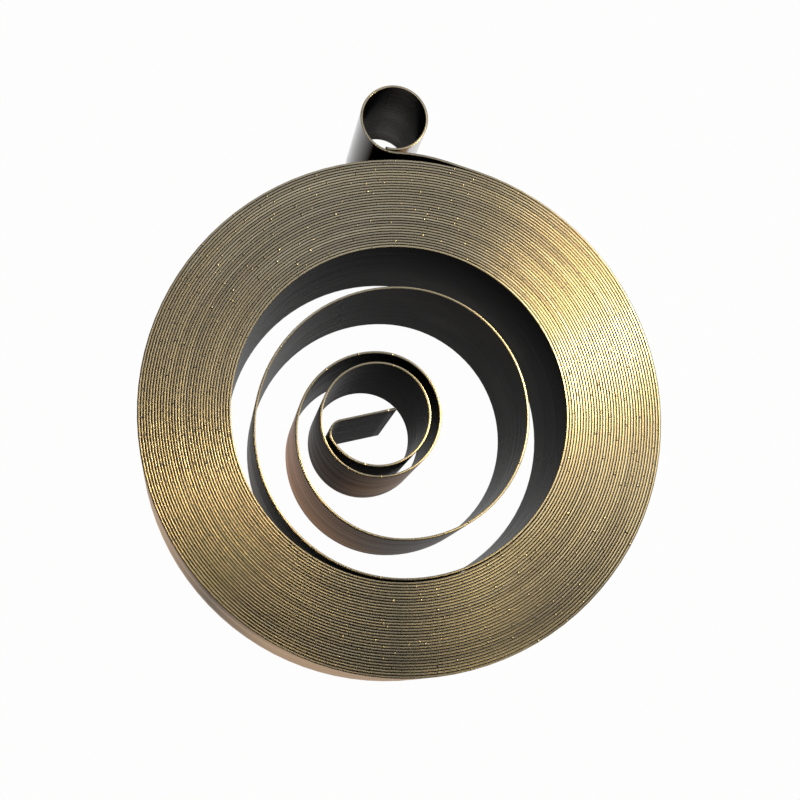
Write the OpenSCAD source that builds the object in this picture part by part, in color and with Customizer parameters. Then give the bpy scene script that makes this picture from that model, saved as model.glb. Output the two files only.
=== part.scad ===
// Power spring: one flat steel strip, wound on edge into a ring, with an eye at its outer end
// and a few loose turns, a hook and a straight tang at its inner end.
// The strip stands on its lower edge at Z = 0, the coil axis is Z and the eye lies towards +Y.
// It is drawn as a chain of tangent bends. Each bend turns the strip by a quarter or half turn about its
// own centre, and all centres and radii are whole microns, so that neighbours meet face to face.
// The lead to the eye also has joints on a 7:24:25 direction, which needs no rounding either.

/* [Strip] */
// Width of the strip, which is the height of the spring
strip_width = 25; // [10:0.5:40]
// Thickness of the strip
strip_thickness = 0.4; // [0.2:0.02:0.6]

/* [Ring] */
// Outside diameter of the wound ring
ring_diameter = 84; // [76:0.5:120]
// Full turns in the ring, between the eye and the place where the loose turns leave it
ring_turns = 33; // [8:1:36]
// Air between neighbouring turns of the ring, on its tighter side towards -X
turn_gap = 0.04; // [0.02:0.01:0.1]
// How much more air they have on the looser side towards +X
turn_slack = 0.02; // [0:0.004:0.06]

/* [Eye at the outer end] */
// Bore of the eye
eye_bore = 10.4; // [6:0.2:16]
// How far the strip lifts off the ring before the eye
eye_lift = 0.9; // [0.5:0.1:1.5]
// Straight run of the strip where it leaves the ring
lead_run = 5; // [2:0.2:6]
// Angle by which the free tip laps past the foot of the eye
eye_lap = 15; // [5:1:30]
// Air between the free tip and the strip that it laps
eye_tip_gap = 0.04; // [0.02:0.01:0.2]

/* [Loose turns at the inner end] */
// How much tighter than the ring's bore the strip is bent where it leaves the ring
leaving_bend = 0.2; // [0.1:0.1:2]
// How much tighter the four bends of the first loose turn are
first_turn = [3.3, 3.6, 6.4, 6.7]; // [0:0.1:30]
// How much tighter the four bends of the second loose turn are
second_turn = [9.9, 14.0, 16.8, 16.9]; // [0:0.1:30]
// How much tighter the four bends of the third loose turn are
third_turn = [17.7, 17.7, 18.6, 18.5]; // [0:0.1:30]

/* [Hook and tang] */
// How much tighter than the ring's bore the bend before the hook is
last_bend = 18.3; // [17:0.1:22]
// Angle of the bend before the hook
last_bend_angle = 57; // [40:1:75]
// Inside radius of the hook
hook_radius = 1.9; // [1:0.1:3]
// Length of the straight tang past the hook
tang_length = 9.1; // [3:0.1:11]
// Slope of the tang, up from X
tang_angle = 14; // [0:1:30]

/* [Hidden] */
$fn = 180;

// Lengths are kept to whole microns
function micron(length) = round(length * 1000) / 1000;

thick = micron(strip_thickness);
half = thick / 2;
quarter_step = micron((thick + turn_gap) / 4);
quarter_slack = micron(turn_slack / 4);

// Radii below are those of the middle of the strip
ring_radius = micron(ring_diameter / 2 - half);

// A turn of the ring is a lower and an upper half, and the upper one takes in the slack on the +X side
turn_step = 4 * quarter_step + 2 * quarter_slack;
upper_step = 2 * quarter_step + 2 * quarter_slack;
function lower_radius(turn) = ring_radius - quarter_step - turn_step * turn;
bore_radius = lower_radius(ring_turns);

// The bends in order, from the eye inwards, each with its radius and its quarter turns
tightening = concat([leaving_bend], first_turn, second_turn, third_turn);
ring_coil = [for (turn = [0 : ring_turns - 1], upper = [0, 1]) [lower_radius(turn) - upper_step * upper, 2]];
loose_coil = [for (step = tightening) [micron(bore_radius - step), 1]];
coil = concat(ring_coil, loose_coil);
bends = len(coil);
function radius_of(i) = coil[i][0];
function quarters_of(i) = coil[i][1];

// Quarter turns made before each bend, one of them by the lead, with its heading there and the side on
// which its centre lies
headings = [[1, 0], [0, -1], [-1, 0], [0, 1]];
turned = [for (i = 0, sum = 1; i < bends; sum = sum + quarters_of(i), i = i + 1) sum];
function heading(i) = headings[turned[i] % 4];
function inward(i) = headings[(turned[i] + 1) % 4];

// Where each bend starts, and at the end of the list where the last one ends
function travel(i) = radius_of(i) * (quarters_of(i) == 1 ? heading(i) + inward(i) : 2 * inward(i));
coil_start = [ring_radius, 0];
starts = [for (i = 0, p = coil_start; i <= bends; p = i < bends ? p + travel(i) : p, i = i + 1) p];

// Lead: it hugs the ring, leaves it in a straight run and bends on to the foot of the eye. The lift and
// the run give the one bend that starts where the run ends and lies level at the foot.
lift = micron(eye_lift);
run = micron(lead_run);
hug_radius = ring_radius + quarter_step;
hug_centre = [-quarter_step, 0];
rise_radius = hug_radius + 25 * lift - 7 * run;
eye_start = hug_centre + [run - 7 * lift, hug_radius + lift];
rise_centre = eye_start - [0, rise_radius];

// Eye: a wider first bend gives the free tip room to lap inside the foot
eye_radius = micron(eye_bore / 2 + half);
foot_radius = eye_radius + micron((thick + eye_tip_gap) / (1 - sin(eye_lap)));
foot_centre = eye_start + [0, foot_radius];
eye_centre = foot_centre + [eye_radius - foot_radius, 0];

// Tail: the last bend, the hook and the tang, measured from the end of the loose turns.
// It is drawn flat, one side out and the other back, and raised to the strip's width.
last_radius = bore_radius - last_bend;
last_end = 270 - last_bend_angle;
hook_middle = hook_radius + half;
hook_end = 90 + tang_angle;
bend_steps = 24;
function polar(radius, angle) = radius * [cos(angle), sin(angle)];
last_centre = [0, last_radius];
hook_centre = last_centre + polar(last_radius - hook_middle, last_end);
function arc(centre, radius, from, to) =
    [for (i = [0 : bend_steps]) centre + polar(radius, from + (to - from) * i / bend_steps)];
function tang_tip(offset) = hook_centre + polar(hook_middle + offset, hook_end) + polar(tang_length, tang_angle);
function tail_side(offset) = concat(
    arc(last_centre, last_radius + offset, 270, last_end),
    arc(hook_centre, hook_middle + offset, last_end, hook_end),
    [tang_tip(offset)]);
function backwards(points) = [for (i = [len(points) - 1 : -1 : 0]) points[i]];

// A bend of the strip about Z, from X towards Y
module bend(radius, angle) {
    rotate_extrude(angle = angle)
        translate([radius - half, 0])
            square([thick, strip_width]);
}

// One bend of the coil, which ends where its quarter turns have brought it
module coil_bend(i) {
    translate(concat(starts[i] + inward(i) * radius_of(i), [0]))
        rotate([0, 0, 90 - 90 * (turned[i] + quarters_of(i))])
            bend(radius_of(i), 90 * quarters_of(i));
}

// Turns X to the direction 7:24, on which the lead leaves the ring
module to_leaving() {
    multmatrix([[0.28, -0.96, 0, 0], [0.96, 0.28, 0, 0], [0, 0, 1, 0], [0, 0, 0, 1]])
        children();
}

// The part of a quarter bend before the leaving direction, or the part after it
module bend_part(radius, after) {
    reach = radius + thick;
    intersection() {
        bend(radius, 90);
        to_leaving()
            translate([0, after ? 0 : -reach, -1])
                cube([reach, reach, strip_width + 2]);
    }
}

module lead() {
    translate(concat(hug_centre, [0])) {
        bend_part(hug_radius, false);
        to_leaving()
            translate([hug_radius - half, 0, 0])
                cube([thick, run, strip_width]);
    }
    translate(concat(rise_centre, [0]))
        bend_part(rise_radius, true);
}

module eye() {
    translate(concat(eye_centre, [0]))
        mirror([1, 0, 0])
            bend(eye_radius, 270 + eye_lap);
    translate(concat(foot_centre, [0]))
        rotate([0, 0, 180])
            bend(foot_radius, 90);
}

module tail() {
    translate(concat(starts[bends], [0]))
        linear_extrude(height = strip_width)
            polygon(concat(tail_side(half), backwards(tail_side(-half))));
}

module spring_strip() {
    color([0.45, 0.40, 0.30])
        union() {
            eye();
            lead();
            for (i = [0 : bends - 1])
                coil_bend(i);
            tail();
        }
}

spring_strip();
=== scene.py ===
import math

import bpy
from mathutils import Matrix, Vector


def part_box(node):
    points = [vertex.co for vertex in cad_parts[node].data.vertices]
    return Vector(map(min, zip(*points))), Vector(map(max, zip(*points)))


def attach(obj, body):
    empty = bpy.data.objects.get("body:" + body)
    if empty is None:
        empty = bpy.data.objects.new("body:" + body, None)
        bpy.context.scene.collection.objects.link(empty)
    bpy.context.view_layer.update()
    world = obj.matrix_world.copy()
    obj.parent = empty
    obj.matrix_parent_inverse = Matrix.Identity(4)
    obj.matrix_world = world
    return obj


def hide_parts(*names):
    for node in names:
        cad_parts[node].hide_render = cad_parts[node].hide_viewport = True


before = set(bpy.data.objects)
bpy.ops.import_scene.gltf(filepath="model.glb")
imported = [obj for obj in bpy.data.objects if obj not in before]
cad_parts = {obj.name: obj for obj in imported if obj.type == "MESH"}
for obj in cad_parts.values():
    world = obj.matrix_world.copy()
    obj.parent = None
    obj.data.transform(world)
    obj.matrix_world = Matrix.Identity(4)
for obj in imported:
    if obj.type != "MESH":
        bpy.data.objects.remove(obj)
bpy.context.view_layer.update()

MM = 0.001

# Sizes of the strip and of its bends, in millimetres and degrees
low_corner, high_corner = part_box("spring_strip")
STRIP_WIDTH = (high_corner[2] - low_corner[2]) / MM
STRIP_THICKNESS = 0.4
TURN_GAP = 0.04
TURN_SLACK = 0.02
RING_RADIUS = 41.8
RING_TURNS = 33
EYE_RADIUS = 5.4
EYE_LIFT = 0.9
LEAD_RUN = 5
EYE_LAP = 15
EYE_TIP_GAP = 0.04
LEAVING_BEND = [0.2]
FIRST_TURN = [3.3, 3.6, 6.4, 6.7]
SECOND_TURN = [9.9, 14.0, 16.8, 16.9]
THIRD_TURN = [17.7, 17.7, 18.6, 18.5]
LAST_BEND = 18.3
LAST_BEND_ANGLE = 57
HOOK_RADIUS = 2.1
TANG_LENGTH = 9.1
TANG_ANGLE = 14

# How finely the strip is drawn, and how far its edges are rounded
STEPS_PER_TURN = 96
LEAD_STEPS = 4
HOOK_STEPS = 20
TANG_STEPS = 6
OUTER_ROUND = 0.07
INNER_ROUND = 0.06
TOP_ROUND_STEPS = 4
BOTTOM_ROUND_STEPS = 3
SUPPORT = 0.25

# Lengths from the strip's outer end: its worn eye and the painted shade that darkens the eye towards its foot, a
# stain on the outermost turn and the end of that turn
WORN_TO = 26
FOOT_SHADE_FROM = 33
STAIN_MIDDLE = 202
STAIN_REACH = 13
STRAW_TO = 285

# Lengths from its inner end: the blackened turns and the browned stretch
BLACKENED_TO = 100
BROWNED_FROM = 96
BROWNED_TO = 130
COLOUR_FADE = 25

# Materials of the strip, in the order of their slots
EDGE, INNER, BORE, EYE, OUTER = range(5)

# Looks of the strip
INNER_GRAZING_TINT = (0.14, 0.138, 0.136, 1)
BLACK_GRAZING_TINT = (0.03, 0.029, 0.028, 1)
INNER_METALLIC = 0.91
BLACK_METALLIC = 0.95
OIL_FILM = 0.8
OIL_ROUGHNESS = 0.06
EDGE_BRUSHING = 0.90
ACROSS_STRIP = 0.25
ROLLING_BUMP = 0.10
ROLLING_DEPTH = 0.00004
BURR_BUMP = 0.3
BURR_HEIGHT = 0.0001

# Floor and lamps, in metres
FLOOR_GLOW = 0.98
FLOOR_REACH = 4.0
LAMP_DISTANCE = 0.55


def polar(radius, degrees):
    return Vector((radius * math.cos(math.radians(degrees)), radius * math.sin(math.radians(degrees))))


class Path:
    """Middle line of the strip, in order from the free tip of the eye to the end of the tang."""

    def __init__(self):
        self.points = []
        self.headings = []
        self.bending = []

    def arc(self, centre, radius, start, sweep, steps):
        """Adds an arc; a positive sweep turns left and a negative one right."""
        first = 1 if self.points else 0
        turn = 90 if sweep > 0 else -90
        for i in range(first, steps + 1):
            angle = start + sweep * i / steps
            self.points.append(centre + polar(radius, angle))
            self.headings.append(polar(1, angle + turn))
            self.bending.append(1 if sweep > 0 else -1)

    def bend_on(self, radius, outward, sweep, steps):
        """Adds an arc to the right that starts where the path ends, with its outside in a given direction."""
        self.arc(self.points[-1] - polar(radius, outward), radius, outward, -sweep, steps)

    def line(self, length, steps):
        """Adds a straight run along the last heading."""
        begin = self.points[-1]
        heading = self.headings[-1]
        for i in range(1, steps + 1):
            self.points.append(begin + heading * (length * i / steps))
            self.headings.append(heading)
            self.bending.append(-1)

    def distances(self):
        """Length of the path up to each of its points."""
        lengths = [0.0]
        for here, there in zip(self.points, self.points[1:]):
            lengths.append(lengths[-1] + (there - here).length)
        return lengths


def steps_for(degrees):
    return max(2, round(STEPS_PER_TURN * abs(degrees) / 360))


def strip_path():
    """The whole strip: eye, lead, ring, loose turns, hook and tang."""
    path = Path()
    quarter_step = (STRIP_THICKNESS + TURN_GAP) / 4

    # The lead leaves the ring on a 7:24:25 direction, which sets the bend that brings it level at the eye
    hug_radius = RING_RADIUS + quarter_step
    hug_centre = Vector((-quarter_step, 0))
    rise_radius = hug_radius + 25 * EYE_LIFT - 7 * LEAD_RUN
    eye_start = hug_centre + Vector((LEAD_RUN - 7 * EYE_LIFT, hug_radius + EYE_LIFT))
    rise_centre = eye_start - Vector((0, rise_radius))
    leaving = math.degrees(math.atan2(24, 7))

    # Eye and foot
    lap_room = (STRIP_THICKNESS + EYE_TIP_GAP) / (1 - math.sin(math.radians(EYE_LAP)))
    foot_radius = EYE_RADIUS + lap_room
    foot_centre = eye_start + Vector((0, foot_radius))
    eye_centre = foot_centre + Vector((-lap_room, 0))
    eye_sweep = 270 + EYE_LAP
    path.arc(eye_centre, EYE_RADIUS, 180 - eye_sweep, eye_sweep, steps_for(eye_sweep))
    path.arc(foot_centre, foot_radius, 180, 90, steps_for(90))

    # Lead
    path.arc(rise_centre, rise_radius, 90, leaving - 90, steps_for(90 - leaving))
    path.line(LEAD_RUN, LEAD_STEPS)
    path.arc(hug_centre, hug_radius, leaving, -leaving, steps_for(leaving))

    # Ring and loose turns, each bend starting where the last one ended
    turn_step = 4 * quarter_step + TURN_SLACK / 2
    upper_step = 2 * quarter_step + TURN_SLACK / 2
    lower_radius = RING_RADIUS - quarter_step
    ring = []
    for _ in range(RING_TURNS):
        ring.append((lower_radius, 180))
        ring.append((lower_radius - upper_step, 180))
        lower_radius -= turn_step
    bore_radius = lower_radius
    loose = LEAVING_BEND + FIRST_TURN + SECOND_TURN + THIRD_TURN
    outward = 0
    for radius, sweep in ring + [(bore_radius - tighter, 90) for tighter in loose]:
        path.bend_on(radius, outward, sweep, steps_for(sweep))
        outward -= sweep

    # Last bend, hook and tang
    path.bend_on(bore_radius - LAST_BEND, outward, LAST_BEND_ANGLE, HOOK_STEPS)
    outward -= LAST_BEND_ANGLE
    path.bend_on(HOOK_RADIUS, outward, 180 - LAST_BEND_ANGLE - TANG_ANGLE, HOOK_STEPS)
    path.line(TANG_LENGTH, TANG_STEPS)
    return path


def strip_section():
    """Outline of the strip, as (across to the right, height, on the edge, steepness)."""
    half = STRIP_THICKNESS / 2
    outline = []

    def corner(side, upper, start, steps):
        round_off = INNER_ROUND if side > 0 else OUTER_ROUND
        centre = Vector((side * (half - round_off), STRIP_WIDTH - round_off if upper else round_off))
        for i in range(steps + 1):
            outward = polar(1, start + 90 * i / steps)
            point = centre + outward * round_off
            outline.append((point.x, point.y, True, abs(outward.x)))

    # Points on the flats close to the corners keep the shading of the flats even
    low = OUTER_ROUND + SUPPORT
    high = STRIP_WIDTH - low
    corner(1, True, 0, TOP_ROUND_STEPS)
    corner(-1, True, 90, TOP_ROUND_STEPS)
    outline.append((-half, high, False, 1.0))
    outline.append((-half, low, False, 1.0))
    corner(-1, False, 180, BOTTOM_ROUND_STEPS)
    corner(1, False, 270, BOTTOM_ROUND_STEPS)
    outline.append((half, low, False, 1.0))
    outline.append((half, high, False, 1.0))
    return outline


def fade(value, low, high):
    """Rises from 0 to 1 between two values."""
    return min(1.0, max(0.0, (value - low) / (high - low)))


def colour_zones(from_start, from_end):
    """How strongly each colour holds at a place along the strip, from 0 to 1."""
    browned = fade(from_end, BROWNED_FROM - COLOUR_FADE, BROWNED_FROM)
    browned -= fade(from_end, BROWNED_TO, BROWNED_TO + COLOUR_FADE)
    return {
        "browned": browned,
        "straw": 1 - fade(from_start, STRAW_TO, STRAW_TO + COLOUR_FADE),
        "stained": 1 - fade(abs(from_start - STAIN_MIDDLE), 0, STAIN_REACH),
        # Wear at the eye's tip, then painted shade that darkens the eye's outside towards its foot
        "wear_and_foot_shade": 1 - fade(from_start, WORN_TO, FOOT_SHADE_FROM),
        "blackened": 1 - fade(from_end, BLACKENED_TO, BLACKENED_TO + COLOUR_FADE),
    }


def flat_slot(bends_right, right_side):
    """Material of a flat. The coil bends right, so its inside is on the right, and the eye bends left."""
    if bends_right:
        return INNER if right_side else OUTER
    return EYE if right_side else BORE


def strip_faces(path, section):
    """Faces between the sections along the path and over both ends, with the material slot of each."""
    count = len(section)
    faces = []
    slots = []
    for i in range(len(path.points) - 1):
        a = i * count
        b = a + count
        for j in range(count):
            k = (j + 1) % count
            faces.append((a + j, b + j, b + k, a + k))
            on_edge = section[j][2] and section[k][2]
            slots.append(EDGE if on_edge else flat_slot(path.bending[i + 1] < 0, section[j][0] > 0))
    last = (len(path.points) - 1) * count
    faces.append(tuple(range(count)))
    faces.append(tuple(reversed(range(last, last + count))))
    slots.extend([INNER, INNER])
    return faces, slots


def make_strip(name, materials):
    """The strip as one closed mesh, which carries its lengths as UV and its colours as point values."""
    path = strip_path()
    section = strip_section()
    distances = path.distances()
    vertices = []
    along = []
    shades = {}
    for i, point in enumerate(path.points):
        heading = path.headings[i]
        right = Vector((heading.y, -heading.x))
        zones = colour_zones(distances[i], distances[-1] - distances[i])
        for across, height, _, steepness in section:
            place = point + right * across
            vertices.append((place.x * MM, place.y * MM, height * MM))
            along.append(distances[i] * MM)
            shades.setdefault("steep", []).append(steepness)
            for zone, value in zones.items():
                shades.setdefault(zone, []).append(value)

    faces, slots = strip_faces(path, section)
    mesh = bpy.data.meshes.new(name)
    mesh.from_pydata(vertices, [], faces)
    for material in materials:
        mesh.materials.append(material)
    mesh.polygons.foreach_set("material_index", slots)
    mesh.polygons.foreach_set("use_smooth", [True] * len(faces))
    mesh.polygons[-1].use_smooth = False
    mesh.polygons[-2].use_smooth = False

    uv = mesh.uv_layers.new(name="strip")
    for loop in mesh.loops:
        v = loop.vertex_index
        uv.data[loop.index].uv = (along[v], vertices[v][2])
    for shade, values in shades.items():
        mesh.attributes.new(shade, "FLOAT", "POINT").data.foreach_set("value", values)
    mesh.update()
    mesh.validate()

    strip = bpy.data.objects.new(name, mesh)
    bpy.context.scene.collection.objects.link(strip)
    return strip


class Nodes:
    """A node tree with short calls for making and joining its nodes."""

    def __init__(self, owner):
        owner.use_nodes = True
        self.tree = owner.node_tree
        self.tree.nodes.clear()

    def put(self, socket, value):
        """Joins an input to an output of another node, or sets it to a value."""
        if isinstance(value, bpy.types.NodeSocket):
            self.tree.links.new(value, socket)
        else:
            socket.default_value = value

    def add(self, kind, inputs=None, **settings):
        node = self.tree.nodes.new(kind)
        for key, value in settings.items():
            setattr(node, key, value)
        for key, value in (inputs or {}).items():
            self.put(node.inputs[key], value)
        return node

    def math(self, operation, a, b, clamp=False):
        return self.add("ShaderNodeMath", {0: a, 1: b}, operation=operation, use_clamp=clamp).outputs[0]

    def mix(self, factor, a, b):
        """Colour between two others. Inputs 6 and 7 and output 2 of the node are its colours."""
        return self.add("ShaderNodeMix", {0: factor, 6: a, 7: b}, data_type="RGBA").outputs[2]

    def range(self, value, low, high, to_low, to_high):
        """Carries a value from one range over to another, and holds it at the ends."""
        inputs = {"Value": value, "From Min": low, "From Max": high, "To Min": to_low, "To Max": to_high}
        return self.add("ShaderNodeMapRange", inputs).outputs[0]

    def shade(self, name):
        """A value that the mesh carries at each point."""
        return self.add("ShaderNodeAttribute", attribute_name=name).outputs["Fac"]

    def strip_noise(self, along_scale, height_scale, detail=3.0, roughness=0.5, shift=0.0):
        """Noise in strip lengths: one grain is about 1/along_scale by 1/height_scale metres."""
        uv = self.add("ShaderNodeUVMap", uv_map="strip").outputs[0]
        stretch = {"Vector": uv, "Scale": (along_scale, height_scale, 1), "Location": (shift, shift, 0)}
        place = self.add("ShaderNodeMapping", stretch).outputs[0]
        grain = {"Vector": place, "Scale": 1.0, "Detail": detail, "Roughness": roughness}
        return self.add("ShaderNodeTexNoise", grain, noise_dimensions="2D").outputs[0]

    def rolling_lines(self):
        """Fine lines along the strip, left by rolling."""
        return self.strip_noise(25.0, 1800.0, 3.0, 0.6)

    def bump(self, strength, distance, height):
        inputs = {"Strength": strength, "Distance": distance, "Height": height}
        return self.add("ShaderNodeBump", inputs).outputs[0]

    def metal(self, base, rough, normal, grazing_tint=(1, 1, 1, 1), metallic=1.0, oil_film=0.0, brushed=0.0):
        """Ends the tree in a metal surface, which may be oiled and brushed along the strip."""
        inputs = {
            "Base Color": base,
            "Roughness": rough,
            "Metallic": metallic,
            "Specular Tint": grazing_tint,
            "Normal": normal,
            "Coat Weight": oil_film,
            "Coat Roughness": OIL_ROUGHNESS,
            "Anisotropic": brushed,
            "Anisotropic Rotation": ACROSS_STRIP,
        }
        if brushed:
            inputs["Tangent"] = self.add("ShaderNodeTangent", direction_type="UV_MAP", uv_map="strip").outputs[0]
        self.surface(self.add("ShaderNodeBsdfPrincipled", inputs).outputs[0])

    def surface(self, shader, output="ShaderNodeOutputMaterial"):
        self.add(output, {"Surface": shader})


def edge_steel():
    """Rounded edge of the strip: bright straw-coloured steel, dark where the flats' oxide begins."""
    material = bpy.data.materials.new("straw_edge_steel")
    n = Nodes(material)
    turn_tone = n.strip_noise(8.0, 0.0, 3.0)
    wear = n.strip_noise(45.0, 0.0, 3.0, shift=3.0)
    burr = n.strip_noise(700.0, 0.0, 1.0, shift=11.0)
    straw = (0.60, 0.52, 0.35, 1)
    dull = (0.40, 0.355, 0.26, 1)
    pale = (0.68, 0.63, 0.48, 1)
    oxide = (0.20, 0.11, 0.04, 1)
    base = n.mix(n.range(turn_tone, 0.36, 0.64, 0.0, 1.0), dull, straw)
    base = n.mix(n.range(wear, 0.50, 0.72, 0.0, 0.6), base, pale)
    base = n.mix(n.range(n.shade("steep"), 0.3, 0.8, 0.0, 1.0), base, oxide)
    rough = n.range(wear, 0.3, 0.7, 0.235, 0.20)
    bump = n.bump(BURR_BUMP, BURR_HEIGHT, n.range(burr, 0.70, 0.74, 0.0, 1.0))
    n.metal(base, rough, bump, oil_film=OIL_FILM, brushed=EDGE_BRUSHING)
    return material


def inner_steel(name, black, grey):
    """Flat on an inside: blued steel between two dark tones, blacker towards the strip's inner end."""
    material = bpy.data.materials.new(name)
    n = Nodes(material)
    rolling = n.rolling_lines()
    cloud = n.strip_noise(60.0, 90.0, 4.0, 0.55, shift=7.0)
    blackened = n.shade("blackened")
    base = n.mix(n.range(cloud, 0.35, 0.70, 0.0, 1.0), black, grey)
    tint = n.mix(blackened, INNER_GRAZING_TINT, BLACK_GRAZING_TINT)
    metallic = n.range(blackened, 0.0, 1.0, INNER_METALLIC, BLACK_METALLIC)
    rough = n.range(rolling, 0.3, 0.7, 0.24, 0.36)
    n.metal(base, rough, n.bump(ROLLING_BUMP, ROLLING_DEPTH, rolling), tint, metallic)
    return material


def outer_steel():
    """Flat on the coil's outside: dark, browned on loose turns, straw coloured and stained on the ring."""
    material = bpy.data.materials.new("tempered_outer_steel")
    n = Nodes(material)
    rolling = n.rolling_lines()
    cloud = n.strip_noise(22.0, 130.0, 4.0, 0.55, shift=7.0)
    blotch = n.range(cloud, 0.36, 0.64, 0.0, 1.0)
    browned = n.math("MULTIPLY", n.shade("browned"), n.range(cloud, 0.25, 0.60, 0.5, 1.0))
    straw = n.shade("straw")
    stained = n.math("MULTIPLY", n.shade("stained"), n.range(cloud, 0.30, 0.60, 0.45, 1.0))

    base = n.mix(blotch, (0.085, 0.075, 0.067, 1), (0.13, 0.108, 0.092, 1))
    base = n.mix(browned, base, (0.46, 0.29, 0.20, 1))
    base = n.mix(straw, base, n.mix(blotch, (0.57, 0.435, 0.30, 1), (0.47, 0.345, 0.235, 1)))
    base = n.mix(stained, base, (0.15, 0.120, 0.090, 1))

    tint = n.mix(browned, (0.23, 0.21, 0.195, 1), (0.60, 0.43, 0.325, 1))
    tint = n.mix(straw, tint, n.mix(blotch, (0.63, 0.475, 0.33, 1), (0.54, 0.395, 0.265, 1)))
    tint = n.mix(stained, tint, (0.22, 0.18, 0.14, 1))

    rough = n.range(rolling, 0.3, 0.7, 0.26, 0.38)
    n.metal(base, rough, n.bump(ROLLING_BUMP, ROLLING_DEPTH, rolling), tint)
    return material


def eye_steel():
    """Outside of the eye: polished by wear, with painted shade that darkens it towards its foot."""
    material = bpy.data.materials.new("worn_eye_steel_with_painted_shade")
    n = Nodes(material)
    rolling = n.rolling_lines()
    wear_and_foot_shade = n.shade("wear_and_foot_shade")
    # Painted shade: pale worn grey near the tip turns to near black towards the foot
    base = n.mix(wear_and_foot_shade, (0.05, 0.048, 0.047, 1), (0.46, 0.45, 0.45, 1))
    tint = n.mix(wear_and_foot_shade, (0.12, 0.116, 0.114, 1), (1, 1, 1, 1))
    rough = n.range(rolling, 0.3, 0.7, 0.14, 0.22)
    n.metal(base, rough, n.bump(ROLLING_BUMP, ROLLING_DEPTH, rolling), tint)
    return material


def pale_floor():
    """White floor that shows as white and keeps part of the object's shadow."""
    material = bpy.data.materials.new("pale_floor")
    n = Nodes(material)
    rays = n.add("ShaderNodeLightPath").outputs
    seen = n.math("ADD", rays["Is Camera Ray"], rays["Is Glossy Ray"], clamp=True)
    seen = n.math("ADD", seen, rays["Is Transmission Ray"], clamp=True)
    share = n.math("MULTIPLY", seen, FLOOR_GLOW)
    diffuse = n.add("ShaderNodeBsdfDiffuse", {"Color": (0.92, 0.92, 0.92, 1)})
    glow = n.add("ShaderNodeEmission", {"Color": (1, 1, 1, 1), "Strength": 1.0})
    both = n.add("ShaderNodeMixShader", {0: share, 1: diffuse.outputs[0], 2: glow.outputs[0]})
    n.surface(both.outputs[0])
    return material


def make_floor():
    mesh = bpy.data.meshes.new("floor")
    sides = [(-1, -1), (1, -1), (1, 1), (-1, 1)]
    mesh.from_pydata([(x * FLOOR_REACH, y * FLOOR_REACH, 0) for x, y in sides], [], [(0, 1, 2, 3)])
    floor = bpy.data.objects.new("floor", mesh)
    mesh.materials.append(pale_floor())
    bpy.context.scene.collection.objects.link(floor)


def area_lamp(name, direction, size, power, colour):
    """Square lamp that stands off the spring's middle in a direction and faces it."""
    data = bpy.data.lights.new(name, "AREA")
    data.size = size
    data.energy = power
    data.color = colour
    lamp = bpy.data.objects.new(name, data)
    middle = Vector((0, 0, STRIP_WIDTH * MM))
    away = Vector(direction).normalized()
    lamp.location = middle + away * LAMP_DISTANCE
    lamp.rotation_euler = away.to_track_quat("Z", "Y").to_euler()
    bpy.context.scene.collection.objects.link(lamp)


def make_world():
    """Dim surroundings: grey at the horizon, with a soft pale band of sky overhead towards the eye."""
    world = bpy.data.worlds.new("studio")
    bpy.context.scene.world = world
    n = Nodes(world)
    direction = n.add("ShaderNodeTexCoord").outputs["Generated"]
    parts = n.add("ShaderNodeSeparateXYZ", {0: direction}).outputs
    horizon = n.range(parts[2], 0.0, 0.6, 0.32, 0.0)

    # The band rises and falls along a direction between +X and +Y, and ends towards -X
    upwards = n.math("ADD", n.math("MULTIPLY", parts[0], 0.36), n.math("MULTIPLY", parts[1], 0.93))
    overhead = n.range(upwards, 0.10, 0.36, 0.0, 1.1)
    beyond = n.range(upwards, 0.37, 0.55, 0.0, 1.05)
    to_right = n.range(parts[0], -0.25, 0.0, 0.0, 1.0)
    band = n.math("MULTIPLY", n.math("SUBTRACT", overhead, beyond), to_right)
    level = n.math("ADD", horizon, band)
    background = n.add("ShaderNodeBackground", {"Color": (1, 1, 1, 1), "Strength": level})
    n.surface(background.outputs[0], "ShaderNodeOutputWorld")


def make_camera():
    """Camera above the spring, leaning towards its lower left with the eye at the top."""
    focal_px = 1607.9
    picture_px = 800
    distance = 255 * MM
    tilt = math.radians(13.03)
    azimuth = math.radians(235.92)
    roll = math.radians(0.54)
    target = Vector((-0.63, 1.72, STRIP_WIDTH)) * MM
    data = bpy.data.cameras.new("camera")
    data.sensor_width = 36
    data.lens = data.sensor_width * focal_px / picture_px
    data.clip_start = 0.01
    camera = bpy.data.objects.new("camera", data)
    back = Vector((math.sin(tilt) * math.cos(azimuth), math.sin(tilt) * math.sin(azimuth), math.cos(tilt)))
    right = Vector((0, 1, 0)).cross(back).normalized()
    up = back.cross(right)
    turned_right = right * math.cos(roll) + up * math.sin(roll)
    turned_up = up * math.cos(roll) - right * math.sin(roll)
    axes = Matrix((turned_right, turned_up, back)).transposed()
    camera.matrix_world = Matrix.Translation(target + back * distance) @ axes.to_4x4()
    bpy.context.scene.collection.objects.link(camera)
    bpy.context.scene.camera = camera


strip = make_strip("wound_strip", [
    edge_steel(),
    inner_steel("black_blued_steel", (0.085, 0.083, 0.081, 1), (0.125, 0.122, 0.119, 1)),
    inner_steel("eye_bore_steel", (0.10, 0.097, 0.094, 1), (0.14, 0.135, 0.13, 1)),
    eye_steel(),
    outer_steel(),
])
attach(strip, "root")
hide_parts("spring_strip")

make_floor()
make_world()
area_lamp("key_lamp", (0.303, 0.235, 0.924), size=0.02, power=0.32, colour=(1.0, 0.80, 0.42))
area_lamp("left_lamp", (-0.058, 0.107, 0.992), size=0.02, power=0.03, colour=(1.0, 0.72, 0.36))
area_lamp("warm_panel", (0.290, 0.160, 0.943), size=0.10, power=0.10, colour=(1.0, 0.80, 0.44))
make_camera()
bpy.context.scene.view_settings.view_transform = "Standard"
